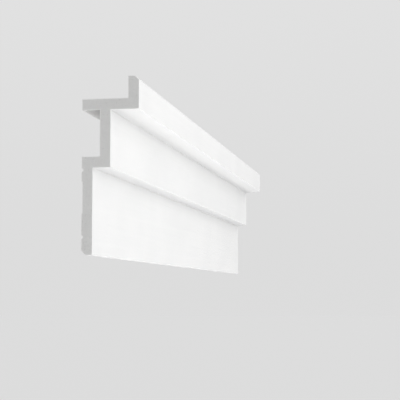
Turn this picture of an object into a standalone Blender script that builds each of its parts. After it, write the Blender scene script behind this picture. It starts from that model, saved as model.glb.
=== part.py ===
"""A length of stepped cornice moulding, cast in one thin piece.

Three fascias step back from top to bottom, joined by two webs. The lowest one is a leg with the
glue face behind it. One end is cut square and the other is mitred for an inside corner.

Frame, in metres: +X along the moulding to the mitred end, -Y out of its front, +Z up. The origin is
on the plane of the glue face, in the middle of the lower glue pad and at half the length.
"""

import math

import bmesh
import bpy
from mathutils import Vector

# Length along the back, which is the long edge of the mitred end, and the angle of the mitre
BACK_LENGTH = 0.850
MITRE_ANGLE = math.radians(45)

# Heights of the three fascias, from the top down
TOP_FASCIA_HEIGHT = 0.0300
MIDDLE_FASCIA_HEIGHT = 0.0520
LEG_HEIGHT = 0.0780

# How far each front face stands out from the glue face
TOP_PROJECTION = 0.0525
MIDDLE_PROJECTION = 0.0265
LEG_THICKNESS = 0.0103

# Thickness of the two uprights and of the two webs
UPRIGHT_THICKNESS = 0.0100
WEB_THICKNESS = 0.0100

# Chamfers: at the top in front, and at the foot behind, for filler and glue
TOP_CHAMFER = 0.0038
FOOT_CHAMFER_DEPTH = 0.0036
FOOT_CHAMFER_HEIGHT = 0.0044

# Glue grooves along the back of the leg
GROOVE_WIDTH = 0.0038
GROOVE_DEPTH = 0.0017
GROOVE_ROOT_RADIUS = 0.0005
UPPER_GROOVE_BELOW_SHELF = 0.0120
LOWER_GROOVE_ABOVE_FOOT = 0.0160

# Flat glue pads beside the grooves, and the shallow relief between the pads
UPPER_PAD_HEIGHT = 0.0090
LOWER_PAD_HEIGHT = 0.0180
RELIEF_DEPTH = 0.0008
RELIEF_SHOULDER = 0.0022

# Roundings of the outer edges and the inner corners
ARRIS_RADIUS = 0.0003
FOOT_ARRIS_RADIUS = 0.0010
FILLET_RADIUS = 0.0004
ARC_STEPS = 4

# Faces that meet at less than this angle are shaded as one
SMOOTH_ANGLE = math.radians(30)

SKIN_COLOUR = (0.92, 0.92, 0.915, 1.0)
SKIN_ROUGHNESS = 0.55


def clear_scene():
    for item in list(bpy.data.objects):
        bpy.data.objects.remove(item, do_unlink=True)


def level_heights():
    """Heights of the foot, the shelf's step, the top step and the top."""
    foot = -(LOWER_GROOVE_ABOVE_FOOT + GROOVE_WIDTH / 2 + LOWER_PAD_HEIGHT / 2)
    shelf_step = foot + LEG_HEIGHT
    top_step = shelf_step + MIDDLE_FASCIA_HEIGHT
    top = top_step + TOP_FASCIA_HEIGHT
    return foot, shelf_step, top_step, top


def front_corners():
    """The front from the top down: (y, z, radius) of each corner."""
    foot, shelf_step, top_step, top = level_heights()
    return [
        (-TOP_PROJECTION + UPRIGHT_THICKNESS, top, ARRIS_RADIUS),
        (-TOP_PROJECTION + TOP_CHAMFER, top, ARRIS_RADIUS),
        (-TOP_PROJECTION, top - TOP_CHAMFER, ARRIS_RADIUS),
        (-TOP_PROJECTION, top_step, ARRIS_RADIUS),
        (-MIDDLE_PROJECTION, top_step, FILLET_RADIUS),
        (-MIDDLE_PROJECTION, shelf_step, ARRIS_RADIUS),
        (-LEG_THICKNESS, shelf_step, FILLET_RADIUS),
        (-LEG_THICKNESS, foot, FOOT_ARRIS_RADIUS),
    ]


def groove_corners(middle):
    """A V groove in the glue face, from its lower lip to its upper one."""
    return [
        (0.0, middle - GROOVE_WIDTH / 2, 0.0),
        (-GROOVE_DEPTH, middle, GROOVE_ROOT_RADIUS),
        (0.0, middle + GROOVE_WIDTH / 2, 0.0),
    ]


def relief_corners(pad_below, pad_above):
    """The relief from the lower pad's edge, up a slope and along to a step at the upper pad."""
    return [
        (0.0, pad_below, 0.0),
        (-RELIEF_DEPTH, pad_below + RELIEF_SHOULDER, 0.0),
        (-RELIEF_DEPTH, pad_above, 0.0),
        (0.0, pad_above, 0.0),
    ]


def back_corners():
    """The back from the foot up: (y, z, radius) of each corner."""
    foot, shelf_step, top_step, _ = level_heights()
    shelf_top = shelf_step + WEB_THICKNESS
    lower_groove = foot + LOWER_GROOVE_ABOVE_FOOT
    upper_groove = shelf_top - UPPER_GROOVE_BELOW_SHELF
    lower_pad_top = lower_groove + GROOVE_WIDTH / 2 + LOWER_PAD_HEIGHT
    upper_pad_foot = upper_groove - GROOVE_WIDTH / 2 - UPPER_PAD_HEIGHT
    middle_inside = -MIDDLE_PROJECTION + UPRIGHT_THICKNESS
    return [
        (-FOOT_CHAMFER_DEPTH, foot, ARRIS_RADIUS),
        (0.0, foot + FOOT_CHAMFER_HEIGHT, ARRIS_RADIUS),
        *groove_corners(lower_groove),
        *relief_corners(lower_pad_top, upper_pad_foot),
        *groove_corners(upper_groove),
        (0.0, shelf_top, ARRIS_RADIUS),
        (middle_inside, shelf_top, FILLET_RADIUS),
        (middle_inside, top_step, FILLET_RADIUS),
        (0.0, top_step, ARRIS_RADIUS),
        (0.0, top_step + WEB_THICKNESS, ARRIS_RADIUS),
        (-TOP_PROJECTION + UPRIGHT_THICKNESS, top_step + WEB_THICKNESS, FILLET_RADIUS),
    ]


def rounded(before, corner, after, radius):
    """Points of the arc that replaces a corner, or the corner itself where it has no radius."""
    if radius == 0:
        return [corner]
    towards_before = (before - corner).normalized()
    towards_after = (after - corner).normalized()
    half_angle = towards_before.angle(towards_after) / 2
    inwards = (towards_before + towards_after).normalized()
    centre = corner + inwards * (radius / math.sin(half_angle))
    reach = radius / math.tan(half_angle)
    first = (corner + towards_before * reach - centre).normalized()
    last = (corner + towards_after * reach - centre).normalized()
    return [centre + first.slerp(last, step / ARC_STEPS) * radius for step in range(ARC_STEPS + 1)]


def profile_outline():
    """The closed outline of the profile as (y, z) points, with its corners rounded."""
    corners = front_corners() + back_corners()
    points = [Vector((y, z)) for y, z, _ in corners]
    radii = [radius for _, _, radius in corners]
    outline = []
    for index, radius in enumerate(radii):
        after = points[(index + 1) % len(points)]
        outline += rounded(points[index - 1], points[index], after, radius)
    return outline


def cornice_mesh(name):
    """The profile run from the square end to the mitre, which leaves the back longest."""
    outline = profile_outline()
    square_end = -BACK_LENGTH / 2
    slope = math.tan(MITRE_ANGLE)
    builder = bmesh.new()
    near = [builder.verts.new((square_end, y, z)) for y, z in outline]
    far = [builder.verts.new((square_end + BACK_LENGTH + y * slope, y, z)) for y, z in outline]
    for index in range(len(outline)):
        after = (index + 1) % len(outline)
        builder.faces.new((near[index], near[after], far[after], far[index]))
    builder.faces.new(reversed(near))
    builder.faces.new(far)
    mesh = bpy.data.meshes.new(name)
    builder.to_mesh(mesh)
    builder.free()
    mesh.shade_smooth()
    mesh.set_sharp_from_angle(angle=SMOOTH_ANGLE)
    return mesh


def primed_white():
    material = bpy.data.materials.new("primed_white")
    material.use_nodes = True
    shader = material.node_tree.nodes["Principled BSDF"]
    shader.inputs["Base Color"].default_value = SKIN_COLOUR
    shader.inputs["Roughness"].default_value = SKIN_ROUGHNESS
    shader.inputs["Metallic"].default_value = 0.0
    return material


def main():
    clear_scene()
    mesh = cornice_mesh("cornice_length")
    mesh.materials.append(primed_white())
    cornice = bpy.data.objects.new("cornice_length", mesh)
    bpy.context.scene.collection.objects.link(cornice)


main()
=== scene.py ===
import math

import bmesh
import bpy
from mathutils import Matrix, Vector


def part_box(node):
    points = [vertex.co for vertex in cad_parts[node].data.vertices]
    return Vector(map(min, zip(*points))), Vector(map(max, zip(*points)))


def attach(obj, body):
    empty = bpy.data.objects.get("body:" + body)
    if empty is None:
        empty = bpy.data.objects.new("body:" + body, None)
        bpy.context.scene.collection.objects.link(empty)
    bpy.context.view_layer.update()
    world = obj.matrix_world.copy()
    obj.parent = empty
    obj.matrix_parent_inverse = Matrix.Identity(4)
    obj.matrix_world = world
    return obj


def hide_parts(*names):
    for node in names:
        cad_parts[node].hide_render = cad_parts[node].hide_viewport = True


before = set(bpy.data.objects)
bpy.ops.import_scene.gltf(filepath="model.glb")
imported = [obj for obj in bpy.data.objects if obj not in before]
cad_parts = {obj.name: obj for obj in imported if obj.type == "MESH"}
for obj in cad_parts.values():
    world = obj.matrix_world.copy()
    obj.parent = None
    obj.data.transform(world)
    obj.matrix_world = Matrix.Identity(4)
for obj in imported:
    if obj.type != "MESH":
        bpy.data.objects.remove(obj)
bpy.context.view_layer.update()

lowCorner, highCorner = (Vector(corner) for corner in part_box("cornice_length"))
print("frame loaded, cornice box", [round(side, 4) for side in highCorner - lowCorner])


# the moulding, in metres
# x runs along it, its glue face lies at y = 0 and its front stands out to -y
moulding = {
    "topFascia": 0.0300,  # heights; the leg takes what is left of the box
    "middleFascia": 0.0520,
    "middleFront": 0.0265,  # how far the two lower faces stand out from the glue face
    "legFront": 0.0103,
    "thickness": 0.0100,  # of uprights and webs alike
    "topChamfer": 0.0038,
    "footChamferDepth": 0.0036,
    "footChamferHeight": 0.0044,
    "grooveWidth": 0.0038,
    "grooveDepth": 0.0017,
    "grooveRoot": 0.0005,
    "upperGroove": 0.0120,  # below the top of the shelf
    "lowerGroove": 0.0160,  # above the foot
    "upperPad": 0.0090,
    "lowerPad": 0.0180,
    "reliefDepth": 0.0008,
    "reliefShoulder": 0.0022,
    "arris": 0.0003,  # roundings
    "footArris": 0.0010,
    "fillet": 0.0004,
    "arcSteps": 6,
    "arcDecimals": 7,  # arcs are true to a ten-thousandth of a millimetre
    "stations": 34,  # cross-sections along the length
    "mitre": 45,  # degrees
    "rim": 0.0009,  # dense skin that the saw lays bare round each end
    "rimCorner": 0.0002,  # rounding of its inner edge at outer corners
    "sharpAngle": 24,  # degrees; faces that meet at more are shaded apart
}


def heightsOf(m):
    top, foot = highCorner.z, lowCorner.z
    topStep = top - m["topFascia"]
    shelfStep = topStep - m["middleFascia"]
    return foot, shelfStep, topStep, top


def frontCorners(m):
    # (y, z, radius, finish of the face that follows), from the top down
    foot, shelfStep, topStep, top = heightsOf(m)
    front = lowCorner.y
    return [
        (front + m["thickness"], top, m["arris"], "castBack"),
        (front + m["topChamfer"], top, m["arris"], "primedWhite"),
        (front, top - m["topChamfer"], m["arris"], "primedWhite"),
        (front, topStep, m["arris"], "primedWhite"),
        (-m["middleFront"], topStep, m["fillet"], "primedWhite"),
        (-m["middleFront"], shelfStep, m["arris"], "primedWhite"),
        (-m["legFront"], shelfStep, m["fillet"], "primedWhite"),
        (-m["legFront"], foot, m["footArris"], "primedWhite"),
    ]


def grooveCorners(m, middle):
    half = m["grooveWidth"] / 2
    return [
        (0.0, middle - half, 0.0, "castBack"),
        (-m["grooveDepth"], middle, m["grooveRoot"], "castBack"),
        (0.0, middle + half, 0.0, "castBack"),
    ]


def reliefCorners(m, bottom, top):
    return [
        (0.0, bottom, 0.0, "castBack"),
        (-m["reliefDepth"], bottom + m["reliefShoulder"], 0.0, "castBack"),
        (-m["reliefDepth"], top, 0.0, "castBack"),
        (0.0, top, 0.0, "castBack"),
    ]


def backCorners(m):
    # the back, from the foot up and round the two hollows
    foot, shelfStep, topStep, _ = heightsOf(m)
    shelfTop = shelfStep + m["thickness"]
    lowerGroove = foot + m["lowerGroove"]
    upperGroove = shelfTop - m["upperGroove"]
    reliefFoot = lowerGroove + m["grooveWidth"] / 2 + m["lowerPad"]
    reliefTop = upperGroove - m["grooveWidth"] / 2 - m["upperPad"]
    middleInside = -m["middleFront"] + m["thickness"]
    topInside = lowCorner.y + m["thickness"]
    return [
        (-m["footChamferDepth"], foot, m["arris"], "castBack"),
        (0.0, foot + m["footChamferHeight"], m["arris"], "castBack"),
        *grooveCorners(m, lowerGroove),
        *reliefCorners(m, reliefFoot, reliefTop),
        *grooveCorners(m, upperGroove),
        (0.0, shelfTop, m["arris"], "castBack"),
        (middleInside, shelfTop, m["fillet"], "castBack"),
        (middleInside, topStep, m["fillet"], "castBack"),
        (0.0, topStep, m["arris"], "castBack"),
        (0.0, topStep + m["thickness"], m["arris"], "castBack"),
        (topInside, topStep + m["thickness"], m["fillet"], "castBack"),
    ]


def insetCorner(before, corner, after, depth):
    # the corner moved into the material, the same depth from both of its sides
    sideIn = (corner - before).normalized().orthogonal()
    sideOut = (after - corner).normalized().orthogonal()
    return corner + (sideIn + sideOut) * (depth / (1 + sideIn.dot(sideOut)))


def roundCorner(m, before, corner, after, radius):
    steps, decimals = m["arcSteps"], m["arcDecimals"]
    toBefore = (before - corner).normalized()
    toAfter = (after - corner).normalized()
    halfAngle = toBefore.angle(toAfter) / 2
    centre = corner + (toBefore + toAfter).normalized() * (radius / math.sin(halfAngle))
    reach = radius / math.tan(halfAngle)
    first = (corner + toBefore * reach - centre).normalized()
    last = (corner + toAfter * reach - centre).normalized()
    arc = [centre + first.slerp(last, step / steps) * radius for step in range(steps + 1)]
    return [Vector((round(p.x, decimals), round(p.y, decimals))) for p in arc]


def outlineOf(m, depth=0.0):
    # points of the profile, and the finish of the face that follows each one
    corners = frontCorners(m) + backCorners(m)
    points = [Vector(corner[:2]) for corner in corners]
    count = len(corners)
    following = [(i + 1) % count for i in range(count)]
    moved = [insetCorner(points[i - 1], points[i], points[following[i]], depth) for i in range(count)]
    outline, faceFinishes = [], []
    for i, (_, _, radius, finish) in enumerate(corners):
        if radius == 0:
            outline.append(moved[i])
            faceFinishes.append(finish)
            continue
        turn = (points[i] - points[i - 1]).cross(points[following[i]] - points[i])
        if turn > 0:  # an outer corner
            inner = max(radius - depth, min(radius, m["rimCorner"]))
        else:
            inner = radius + depth
        outline += roundCorner(m, moved[i - 1], moved[i], moved[following[i]], inner)
        onArc = "primedWhite" if "primedWhite" in (corners[i - 1][3], finish) else "castBack"
        faceFinishes += [onArc] * m["arcSteps"] + [finish]
    return outline, faceFinishes


# the flat map that textures are baked on: the skin unrolled along u, both ends above it
bakeMap = {
    "skinScale": 1.14,  # map widths per metre
    "endScale": 3.4,
    "gap": 0.008,
}


def distancesRound(outline):
    walked = [0.0]
    for here, after in zip(outline, outline[1:] + outline[:1]):
        walked.append(walked[-1] + (after - here).length)
    return walked


def buildMoulding(m, b, slots):
    outline, faceFinishes = outlineOf(m)
    core, _ = outlineOf(m, m["rim"])
    slope = math.tan(math.radians(m["mitre"]))
    squareEnd, longEnd = lowCorner.x, highCorner.x
    shortest = longEnd + lowCorner.y * slope
    count = len(outline)
    walked = distancesRound(outline)

    mesh = bpy.data.meshes.new("corniceLength")
    builder = bmesh.new()
    fromSkin = builder.verts.layers.float.new("fromSkin")  # 0 at the skin, 1 inside the rim
    flat = builder.loops.layers.uv.new("OFBake")

    rings = []
    for station in range(m["stations"]):
        along = squareEnd + (shortest - squareEnd) * station / m["stations"]
        rings.append([builder.verts.new((along, p.x, p.y)) for p in outline])
    rings.append([builder.verts.new((longEnd + p.x * slope, p.x, p.y)) for p in outline])
    for near, far in zip(rings, rings[1:]):
        for i in range(count):
            after = (i + 1) % count
            face = builder.faces.new((near[i], near[after], far[after], far[i]))
            face.material_index = slots[faceFinishes[i]]
            for loop, walk in zip(face.loops, (walked[i], walked[i + 1], walked[i + 1], walked[i])):
                along = loop.vert.co.x - squareEnd
                loop[flat].uv = (b["gap"] + along * b["skinScale"], b["gap"] + walk * b["skinScale"])

    def closeEnd(skinRing, coreRing, lowV, widen, flipped):
        for vertex in coreRing:
            vertex[fromSkin] = 1.0
        made = [builder.faces.new(coreRing)]
        for i in range(count):
            after = (i + 1) % count
            made.append(builder.faces.new((skinRing[i], skinRing[after], coreRing[after], coreRing[i])))
        for face in made:
            face.material_index = slots["sawnFoam"]
            if flipped:
                face.normal_flip()
            for loop in face.loops:
                out, up = loop.vert.co.y - lowCorner.y, loop.vert.co.z - lowCorner.z
                loop[flat].uv = (b["gap"] + up * b["endScale"], lowV + out * widen * b["endScale"])

    squareV = 2 * b["gap"] + walked[-1] * b["skinScale"]
    mitreV = squareV + b["gap"] - lowCorner.y * b["endScale"]
    squareCore = [builder.verts.new((squareEnd, p.x, p.y)) for p in core]
    mitreCore = [builder.verts.new((longEnd + p.x * slope, p.x, p.y)) for p in core]
    closeEnd(rings[0], squareCore, squareV, 1.0, True)
    closeEnd(rings[-1], mitreCore, mitreV, math.hypot(1, slope), False)
    builder.to_mesh(mesh)
    builder.free()
    mesh.shade_smooth()
    mesh.set_sharp_from_angle(angle=math.radians(m["sharpAngle"]))
    return mesh


def startMaterial(name, specular):
    material = bpy.data.materials.new(name)
    material.use_nodes = True
    shader = material.node_tree.nodes["Principled BSDF"]
    shader.inputs["Specular IOR Level"].default_value = specular
    return material, material.node_tree, shader


def sized(tree, size, turn=0.0):
    # object coordinates counted in features of this size, in metres along x, y and z
    where = tree.nodes.new("ShaderNodeTexCoord")
    mapping = tree.nodes.new("ShaderNodeMapping")
    mapping.vector_type = "TEXTURE"
    mapping.inputs["Scale"].default_value = size if isinstance(size, tuple) else (size, size, size)
    mapping.inputs["Rotation"].default_value = (math.radians(turn), 0, 0)
    tree.links.new(where.outputs["Object"], mapping.inputs["Vector"])
    return mapping.outputs["Vector"]


def cloud(tree, size, detail=2.0, turn=0.0):
    texture = tree.nodes.new("ShaderNodeTexNoise")
    texture.inputs["Scale"].default_value = 1
    texture.inputs["Detail"].default_value = detail
    tree.links.new(sized(tree, size, turn), texture.inputs["Vector"])
    return texture.outputs["Fac"]


def bubbles(tree, spacing, share, widest):
    # how deep inside a bubble a point is; only a share of the cells hold one, each its own width
    texture = tree.nodes.new("ShaderNodeTexVoronoi")
    texture.inputs["Scale"].default_value = 1
    tree.links.new(sized(tree, spacing), texture.inputs["Vector"])
    lot = tree.nodes.new("ShaderNodeSeparateColor")
    tree.links.new(texture.outputs["Color"], lot.inputs["Color"])
    radius = ranged(tree, lot.outputs["Red"], 1 - share, 1, 0, widest / spacing / 2)
    return worked(tree, "MAXIMUM", worked(tree, "SUBTRACT", radius, texture.outputs["Distance"]), 0)


def ranged(tree, value, fromLow, fromHigh, toLow, toHigh):
    mapped = tree.nodes.new("ShaderNodeMapRange")
    mapped.inputs["From Min"].default_value = fromLow
    mapped.inputs["From Max"].default_value = fromHigh
    mapped.inputs["To Min"].default_value = toLow
    mapped.inputs["To Max"].default_value = toHigh
    tree.links.new(value, mapped.inputs["Value"])
    return mapped.outputs["Result"]


def worked(tree, operation, first, second):
    maths = tree.nodes.new("ShaderNodeMath")
    maths.operation = operation
    for socket, value in zip(maths.inputs, (first, second)):
        if isinstance(value, (int, float)):
            socket.default_value = value
        else:
            tree.links.new(value, socket)
    return maths.outputs["Value"]


def blended(tree, factor, first, second):
    # inputs 6 and 7 are the two colours that the mix goes between, and output 2 is the mixed one
    mix = tree.nodes.new("ShaderNodeMix")
    mix.data_type = "RGBA"
    tree.links.new(factor, mix.inputs["Factor"])
    for socket, value in ((mix.inputs[6], first), (mix.inputs[7], second)):
        if isinstance(value, tuple):
            socket.default_value = (*value, 1)
        else:
            tree.links.new(value, socket)
    return mix.outputs[2]


def raised(tree, height, distance, under=None):
    # bump of a real height in metres, laid over the one under it
    bump = tree.nodes.new("ShaderNodeBump")
    bump.inputs["Distance"].default_value = distance
    tree.links.new(height, bump.inputs["Height"])
    if under is not None:
        tree.links.new(under, bump.inputs["Normal"])
    return bump.outputs["Normal"]


def toned(tree, clouds, streaks, look):
    # from 0 in the shade to 1 in the light, by broad clouds and long streaks together
    broad = worked(tree, "MULTIPLY", clouds, look["cloudShare"])
    drawn = worked(tree, "MULTIPLY", streaks, look["streakShare"])
    return ranged(tree, worked(tree, "ADD", broad, drawn), *look["toneRange"], 0, 1)


primedLook = {
    "light": (0.772, 0.772, 0.769),
    "shade": (0.750, 0.751, 0.750),
    "nib": (0.69, 0.69, 0.685),  # grains of dust under the paint
    "cloudSize": 0.060,
    "cloudDetail": 3,
    "cloudShare": 0.6,
    "streakSize": (0.250, 0.004, 0.004),  # drawn out along the length
    "streakDetail": 3,
    "streakShare": 0.4,
    "streakHeight": 0.00004,
    "toneRange": (0.38, 0.62),
    "peelSize": 0.0026,
    "peelHeight": 0.00032,
    "grainSize": 0.0008,
    "grainHeight": 0.00008,
    "nibRange": (0.68, 0.78),  # of the grain, from where a nib begins to its full colour
    "glossRange": (0.75, 1.25),  # of clouds and peel added up
    "roughness": (0.50, 0.68),
    "specular": 0.25,
}


def primedFinish(name, look):
    material, tree, shader = startMaterial(name, look["specular"])
    clouds = cloud(tree, look["cloudSize"], look["cloudDetail"])
    streaks = cloud(tree, look["streakSize"], look["streakDetail"])
    peel = cloud(tree, look["peelSize"])
    grain = cloud(tree, look["grainSize"])

    coat = blended(tree, toned(tree, clouds, streaks, look), look["shade"], look["light"])
    speckled = blended(tree, ranged(tree, grain, *look["nibRange"], 0, 1), coat, look["nib"])
    tree.links.new(speckled, shader.inputs["Base Color"])
    gloss = ranged(tree, worked(tree, "ADD", clouds, peel), *look["glossRange"], *look["roughness"])
    tree.links.new(gloss, shader.inputs["Roughness"])

    normal = raised(tree, streaks, look["streakHeight"])
    normal = raised(tree, peel, look["peelHeight"], normal)
    normal = raised(tree, grain, look["grainHeight"], normal)
    tree.links.new(normal, shader.inputs["Normal"])
    return material


castLook = {
    "light": (0.742, 0.740, 0.733),
    "shade": (0.692, 0.690, 0.683),
    "hollow": (0.50, 0.495, 0.485),  # painted shade inside a bubble
    "cloudSize": 0.045,
    "cloudDetail": 4,
    "cloudShare": 0.5,
    "streakSize": (0.110, 0.0016, 0.0016),  # sanded along the length
    "streakDetail": 3,
    "streakShare": 0.5,
    "streakHeight": 0.00012,
    "toneRange": (0.36, 0.64),
    "grainSize": 0.0008,
    "grainHeight": 0.00008,
    "bubbleSpacing": 0.0065,
    "bubbleShare": 0.22,
    "bubbleWidth": 0.0016,
    "bubbleEdge": 0.03,  # in bubble spacings, from its rim to the full painted shade inside it
    "glossRange": (0.3, 0.7),  # of the streaks
    "roughness": (0.68, 0.86),
    "specular": 0.2,
}


def castFinish(name, look):
    material, tree, shader = startMaterial(name, look["specular"])
    clouds = cloud(tree, look["cloudSize"], look["cloudDetail"])
    streaks = cloud(tree, look["streakSize"], look["streakDetail"])
    grain = cloud(tree, look["grainSize"])
    pits = bubbles(tree, look["bubbleSpacing"], look["bubbleShare"], look["bubbleWidth"])

    foam = blended(tree, toned(tree, clouds, streaks, look), look["shade"], look["light"])
    # painted shade: each bubble darkens inside, on top of the bump that sinks it
    pitShaded = blended(tree, ranged(tree, pits, 0, look["bubbleEdge"], 0, 1), foam, look["hollow"])
    tree.links.new(pitShaded, shader.inputs["Base Color"])
    gloss = ranged(tree, streaks, *look["glossRange"], *look["roughness"])
    tree.links.new(gloss, shader.inputs["Roughness"])

    normal = raised(tree, streaks, look["streakHeight"])
    normal = raised(tree, grain, look["grainHeight"], normal)
    normal = raised(tree, worked(tree, "MULTIPLY", pits, -1), look["bubbleSpacing"], normal)
    tree.links.new(normal, shader.inputs["Normal"])
    return material


sawnLook = {
    "ridge": (0.625, 0.625, 0.620),  # between the cells
    # painted shade at the floor of each cell
    "cellFloorShade": (0.555, 0.555, 0.550),
    # painted shade inside each pore
    "poreShade": (0.42, 0.42, 0.415),
    "skin": (0.730, 0.730, 0.725),  # the dense rim
    "cellSize": 0.00042,
    "cellRange": (0.15, 0.60),  # in cell sizes, from the painted shade at the floor of a cell to its ridge
    "cellDepth": 0.00012,
    "poreSpacing": 0.0024,
    "poreShare": 0.30,
    "poreWidth": 0.0008,
    "poreEdge": 0.04,  # in pore spacings, from its rim to the full painted shade inside it
    "clumpSize": 0.009,
    "clumpDetail": 4,
    "kerfSize": (1.0, 0.018, 0.0013),  # saw lines, aslant over the cut
    "kerfDetail": 2,
    "kerfTurn": 24,  # degrees
    "kerfHeight": 0.00010,
    "densityRange": (0.8, 1.2),  # of clumps and saw lines added up
    "densest": 0.5,  # how much of the ridge colour the densest foam takes on
    "roughness": (0.75, 0.95),  # of the rim and of the foam inside it
    "specular": 0.12,
}


def sawnFinish(name, look):
    material, tree, shader = startMaterial(name, look["specular"])
    cells = tree.nodes.new("ShaderNodeTexVoronoi")
    cells.inputs["Scale"].default_value = 1
    tree.links.new(sized(tree, look["cellSize"]), cells.inputs["Vector"])
    pores = bubbles(tree, look["poreSpacing"], look["poreShare"], look["poreWidth"])
    clumps = cloud(tree, look["clumpSize"], look["clumpDetail"])
    kerf = cloud(tree, look["kerfSize"], look["kerfDetail"], look["kerfTurn"])
    attribute = tree.nodes.new("ShaderNodeAttribute")
    attribute.attribute_name = "fromSkin"
    inside = attribute.outputs["Fac"]

    # painted shade: the colour darkens towards the floor of each cell, where the bump sinks it
    dip = ranged(tree, cells.outputs["Distance"], *look["cellRange"], 1, 0)
    density = ranged(tree, worked(tree, "ADD", clumps, kerf), *look["densityRange"], 0, look["densest"])
    foam = blended(tree, density, blended(tree, dip, look["ridge"], look["cellFloorShade"]), look["ridge"])
    # painted shade inside each pore, on top of the bump that sinks it
    poreShaded = blended(tree, ranged(tree, pores, 0, look["poreEdge"], 0, 1), foam, look["poreShade"])
    rimmed = blended(tree, inside, look["skin"], poreShaded)
    tree.links.new(rimmed, shader.inputs["Base Color"])
    tree.links.new(ranged(tree, inside, 0, 1, *look["roughness"]), shader.inputs["Roughness"])

    normal = raised(tree, kerf, look["kerfHeight"])
    for hollow, depth in ((dip, look["cellDepth"]), (pores, look["poreSpacing"])):
        sunk = worked(tree, "MULTIPLY", worked(tree, "MULTIPLY", hollow, inside), -1)
        normal = raised(tree, sunk, depth, normal)
    tree.links.new(normal, shader.inputs["Normal"])
    return material


finishes = {
    "primedWhite": primedFinish("primedWhite", primedLook),
    "castBack": castFinish("castBack", castLook),
    "sawnFoam": sawnFinish("sawnFoam", sawnLook),
}
mesh = buildMoulding(moulding, bakeMap, {name: i for i, name in enumerate(finishes)})
for material in finishes.values():
    mesh.materials.append(material)
cornice = bpy.data.objects.new("corniceLength", mesh)
bpy.context.scene.collection.objects.link(cornice)

# keeps the wide faces evenly shaded beside the arrises
evenShade = cornice.modifiers.new("evenShade", "WEIGHTED_NORMAL")
evenShade.keep_sharp = True
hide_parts("cornice_length")
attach(cornice, "root")
print("moulding built,", len(mesh.polygons), "faces")


studio = {
    "floorDepth": 2.20,  # below the foot, about as high as such a length is fixed
    "floorRadius": 120.0,
    "floorSides": 96,
    "floorColour": (0.20, 0.20, 0.20, 1),
    "floorRoughness": 0.9,
    "floorSpecular": 0.1,
    "floorGlow": 0.555,  # the floor is a lit table
    "tentLight": 0.603,  # mean brightness of the light tent round the moulding
    "tentLean": (-0.236, -0.420, 0.248),  # brighter towards this side, dimmer away from it
    "horizon": (0.72, 0.72, 0.72, 1),
    "sky": (0.76, 0.76, 0.76, 1),
    "skyRise": 0.35,  # from 0 at the horizon to 1 overhead, where the sky has its full colour
}

softboxes = {
    "frontSoftbox": {
        "place": (-0.72, -1.57, 0.06),
        "aim": (0.0, -0.03, 0.06),
        "size": (0.8, 0.8),
        "watts": 8.1,
    },
    "highSoftbox": {
        "place": (0.50, -1.41, 0.91),
        "aim": (0.0, -0.03, 0.06),
        "size": (0.8, 0.8),
        "watts": 2.9,
    },
    "lowSoftbox": {
        "place": (-0.40, -0.22, -1.58),
        "aim": (0.0, -0.03, 0.06),
        "size": (0.8, 0.8),
        "watts": 8.6,
    },
    "underSoftbox": {
        "place": (0.0, 0.15, -0.75),
        "aim": (0.0, 0.0, 0.07),
        "size": (2.4, 0.2),
        "watts": 5.45,
    },
    "backSoftbox": {
        "place": (0.80, 1.10, 0.90),
        "aim": (0.0, 0.0, 0.05),
        "size": (1.0, 0.8),
        "watts": 13,
    },
}


def addFloor(s):
    builder = bmesh.new()
    bmesh.ops.create_circle(builder, cap_ends=True, radius=s["floorRadius"], segments=s["floorSides"])
    floorMesh = bpy.data.meshes.new("floor")
    builder.to_mesh(floorMesh)
    builder.free()
    material, _, shader = startMaterial("paleFloor", s["floorSpecular"])
    shader.inputs["Base Color"].default_value = s["floorColour"]
    shader.inputs["Roughness"].default_value = s["floorRoughness"]
    shader.inputs["Emission Color"].default_value = (1, 1, 1, 1)
    shader.inputs["Emission Strength"].default_value = s["floorGlow"]
    floorMesh.materials.append(material)
    floor = bpy.data.objects.new("floor", floorMesh)
    floor.location.z = lowCorner.z - s["floorDepth"]
    floor.visible_diffuse = floor.visible_glossy = floor.visible_shadow = False
    bpy.context.scene.collection.objects.link(floor)


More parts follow.
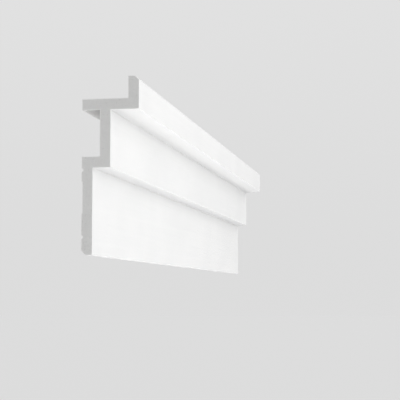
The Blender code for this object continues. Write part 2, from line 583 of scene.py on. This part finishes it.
def addWorld(s):
    world = bpy.data.worlds.new("studio")
    bpy.context.scene.world = world
    world.use_nodes = True
    nodes, links = world.node_tree.nodes, world.node_tree.links
    where = nodes.new("ShaderNodeTexCoord")

    # the tent that lights the moulding
    lean = nodes.new("ShaderNodeVectorMath")
    lean.operation = "DOT_PRODUCT"
    lean.inputs[1].default_value = s["tentLean"]
    strength = nodes.new("ShaderNodeMath")
    strength.operation = "ADD"
    strength.inputs[1].default_value = s["tentLight"]
    links.new(where.outputs["Generated"], lean.inputs[0])
    links.new(lean.outputs["Value"], strength.inputs[0])
    tent = nodes["Background"]
    tent.inputs["Color"].default_value = (1, 1, 1, 1)
    links.new(strength.outputs["Value"], tent.inputs["Strength"])

    # the backdrop that shows behind it
    split = nodes.new("ShaderNodeSeparateXYZ")
    ramp = nodes.new("ShaderNodeValToRGB")
    ramp.color_ramp.interpolation = "EASE"
    ramp.color_ramp.elements[0].color = s["horizon"]
    ramp.color_ramp.elements[1].position = s["skyRise"]
    ramp.color_ramp.elements[1].color = s["sky"]
    seen = nodes.new("ShaderNodeBackground")
    links.new(where.outputs["Generated"], split.inputs["Vector"])
    links.new(split.outputs["Z"], ramp.inputs["Fac"])
    links.new(ramp.outputs["Color"], seen.inputs["Color"])

    path = nodes.new("ShaderNodeLightPath")
    mix = nodes.new("ShaderNodeMixShader")
    links.new(path.outputs["Is Camera Ray"], mix.inputs["Fac"])
    links.new(tent.outputs["Background"], mix.inputs[1])
    links.new(seen.outputs["Background"], mix.inputs[2])
    links.new(mix.outputs["Shader"], nodes["World Output"].inputs["Surface"])


def addSoftbox(name, box):
    lamp = bpy.data.lights.new(name, "AREA")
    lamp.shape = "RECTANGLE"
    lamp.size, lamp.size_y = box["size"]
    lamp.energy = box["watts"]
    light = bpy.data.objects.new(name, lamp)
    light.location = box["place"]
    towards = Vector(box["aim"]) - Vector(box["place"])
    light.rotation_euler = towards.to_track_quat("-Z", "Y").to_euler()
    light.visible_camera = False
    bpy.context.scene.collection.objects.link(light)


addFloor(studio)
addWorld(studio)
for name, box in softboxes.items():
    addSoftbox(name, box)
bpy.context.scene.view_settings.view_transform = "Standard"
print("studio set")


view = {
    "lens": 99.29,  # millimetres, as the sensor's width
    "sensor": 36.0,
    "place": (-1.3679, -0.2883, -0.06295),
    "turn": 10.837,  # degrees from +x towards +y
    "tilt": 4.967,  # degrees up
}


def addCamera(v):
    lens = bpy.data.cameras.new("camera")
    lens.lens, lens.sensor_width = v["lens"], v["sensor"]
    camera = bpy.data.objects.new("camera", lens)
    camera.location = v["place"]
    camera.rotation_euler = (math.radians(90 + v["tilt"]), 0, math.radians(v["turn"] - 90))
    bpy.context.scene.collection.objects.link(camera)
    bpy.context.scene.camera = camera


addCamera(view)
print("camera placed")
